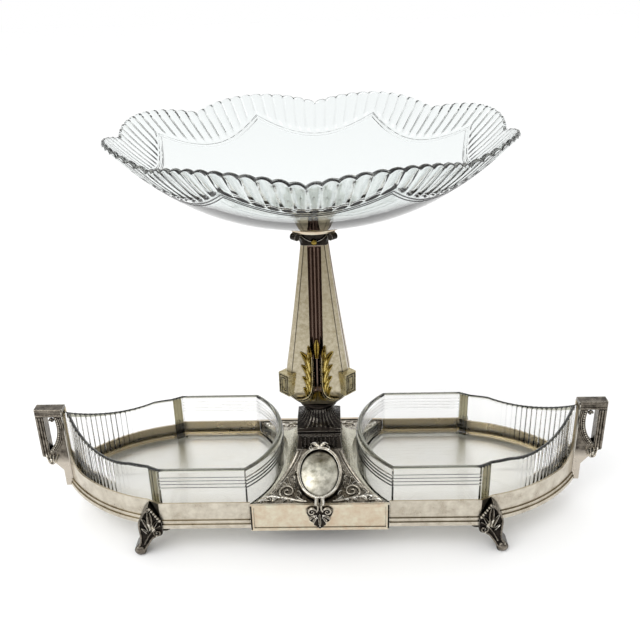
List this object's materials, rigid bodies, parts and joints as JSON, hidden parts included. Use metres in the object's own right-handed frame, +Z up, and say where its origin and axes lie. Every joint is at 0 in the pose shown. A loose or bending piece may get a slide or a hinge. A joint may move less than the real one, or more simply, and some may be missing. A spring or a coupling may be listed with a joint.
{
  "type": "epergne",
  "caption": "Boat-shaped silver-plated table centrepiece with lift-out glass dishes in its wings and a tall stem carrying a lobed, fluted glass bowl.",
  "frame": {"origin": "on the table, under the axis of the stem", "axes": "+X to the right along the wings, +Y away from the viewer, +Z up"},
  "size_m": [0.499, 0.2968, 0.3478],
  "materials": {
    "silver_plate": "worn silver plate, soft polish with dark tarnish in the recesses",
    "oxidised_silver": "cast silver plate, oxidised nearly black in the hollows and rubbed bright on the edges",
    "worn_gilt": "worn parcel gilding over silver plate",
    "plain_steel": "plain steel",
    "clear_glass": "clear pressed and cut glass, fire polished"
  },
  "bodies": {
    "frame": {"pedestal": "silver_plate", "front_panel": "silver_plate", "back_panel": "silver_plate", "front_shield": "silver_plate", "back_shield": "silver_plate", "left_wing": "silver_plate", "right_wing": "silver_plate", "left_ledge": "silver_plate", "right_ledge": "silver_plate", "stem": "silver_plate", "capital": "silver_plate", "capital_ring": "silver_plate", "bowl_calyx": "silver_plate", "front_cartouche": "oxidised_silver", "back_cartouche": "oxidised_silver", "front_palmette": "oxidised_silver", "back_palmette": "oxidised_silver", "left_handle": "oxidised_silver", "right_handle": "oxidised_silver", "front_right_foot": "oxidised_silver", "back_right_foot": "oxidised_silver", "back_left_foot": "oxidised_silver", "front_left_foot": "oxidised_silver", "fluted_neck": "oxidised_silver", "plinth": "oxidised_silver", "stem_collar": "oxidised_silver", "front_leaf": "worn_gilt", "back_leaf": "worn_gilt", "front_left_key_block": "worn_gilt", "front_right_key_block": "worn_gilt", "capital_drops": "worn_gilt", "foot_screws": "plain_steel", "tie_rod": "plain_steel", "washer": "plain_steel", "clamp_nut": "plain_steel"},
    "left_dish": {"left_dish": "clear_glass"},
    "right_dish": {"right_dish": "clear_glass"},
    "bowl": {"bowl": "clear_glass"}
  },
  "joints": [
    {"name": "left_dish_lift", "type": "slide", "parent": "frame", "child": "left_dish", "axis": [0, 0, 1], "range_m": [0, 0.1]},
    {"name": "right_dish_lift", "type": "slide", "parent": "frame", "child": "right_dish", "axis": [0, 0, 1], "range_m": [0, 0.1]},
    {"name": "bowl_lift", "type": "slide", "parent": "frame", "child": "bowl", "axis": [0, 0, 1], "range_m": [0, 0.06]}
  ]
}
